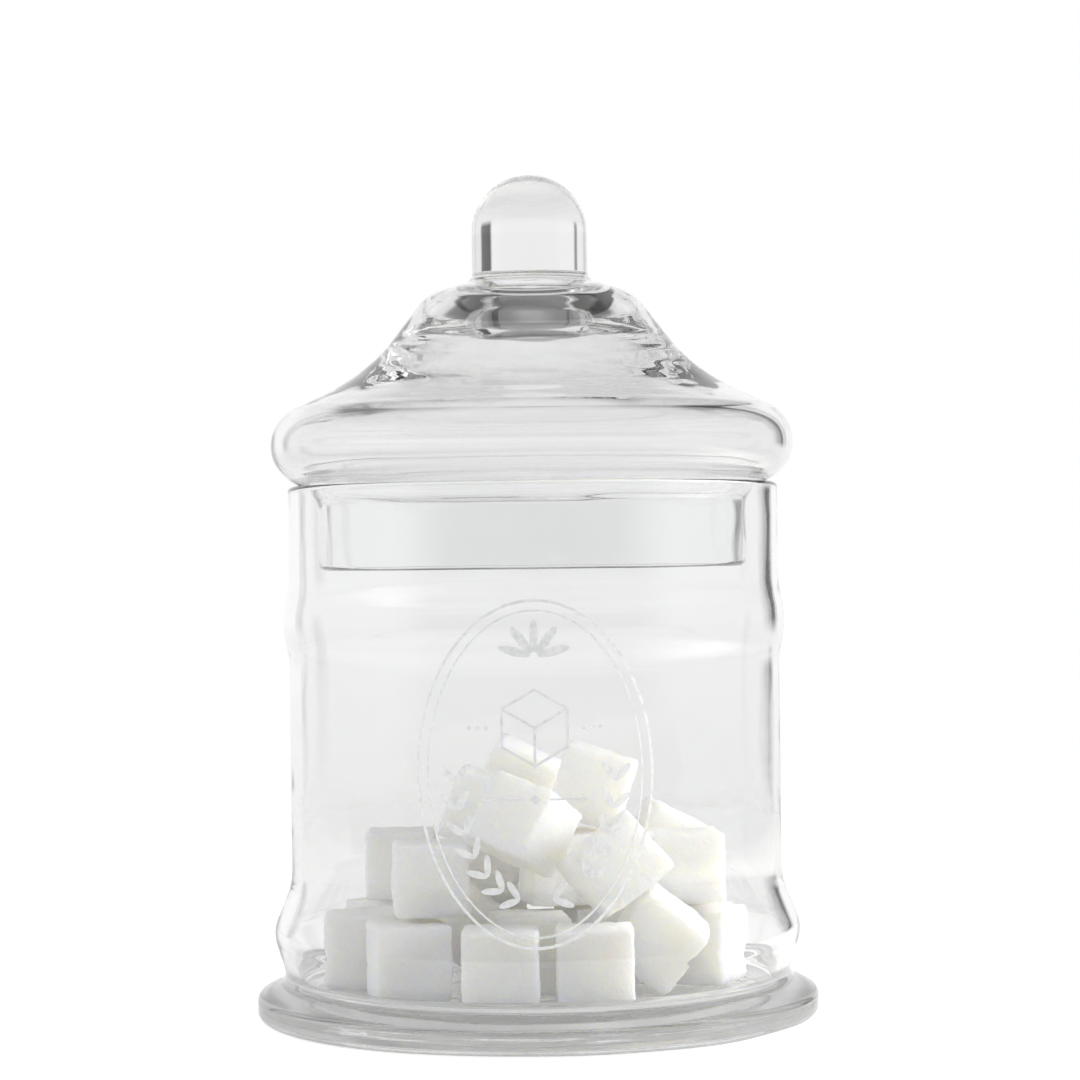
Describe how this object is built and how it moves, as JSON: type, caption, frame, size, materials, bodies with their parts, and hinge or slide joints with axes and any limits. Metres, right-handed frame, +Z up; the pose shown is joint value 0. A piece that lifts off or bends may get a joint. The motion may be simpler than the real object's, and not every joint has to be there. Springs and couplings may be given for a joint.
{
  "type": "glass sugar canister",
  "caption": "Clear blown-glass canister on a flared foot, with a domed drop-in lid, a knob and a heap of sugar cubes inside.",
  "frame": {"origin": "on the table under the middle of the foot", "axes": "+Z up along the axis of the jar; the print faces -Y; +X to the right as the print is read"},
  "size_m": [0.1274, 0.1274, 0.1905],
  "materials": {
    "clear_glass": "clear blown glass, fire-polished rims",
    "frosted_print": "thin frosted white transfer on the glass",
    "sugar": "pressed white sugar, fine crystals"
  },
  "bodies": {
    "jar": {"jar_body": "clear_glass", "jar_foot": "clear_glass", "print_frame": "frosted_print", "print_wreath": "frosted_print", "print_crest": "frosted_print", "print_emblem": "frosted_print", "sugar_cube_01": "sugar", "sugar_cube_02": "sugar", "sugar_cube_03": "sugar", "sugar_cube_04": "sugar", "sugar_cube_05": "sugar", "sugar_cube_06": "sugar", "sugar_cube_07": "sugar", "sugar_cube_08": "sugar", "sugar_cube_09": "sugar", "sugar_cube_10": "sugar", "sugar_cube_11": "sugar", "sugar_cube_12": "sugar", "sugar_cube_13": "sugar", "sugar_cube_14": "sugar", "sugar_cube_15": "sugar", "sugar_cube_16": "sugar", "sugar_cube_17": "sugar", "sugar_cube_18": "sugar", "sugar_cube_19": "sugar", "sugar_cube_20": "sugar", "sugar_cube_21": "sugar", "sugar_cube_22": "sugar", "sugar_cube_23": "sugar", "sugar_cube_24": "sugar", "sugar_cube_25": "sugar", "sugar_cube_26": "sugar"},
    "lid": {"lid_shell": "clear_glass", "lid_knob": "clear_glass"}
  },
  "joints": [
    {"name": "lid_lift", "type": "slide", "parent": "jar", "child": "lid", "axis": [0, 0, 1], "range_m": [0, 0.12]}
  ]
}
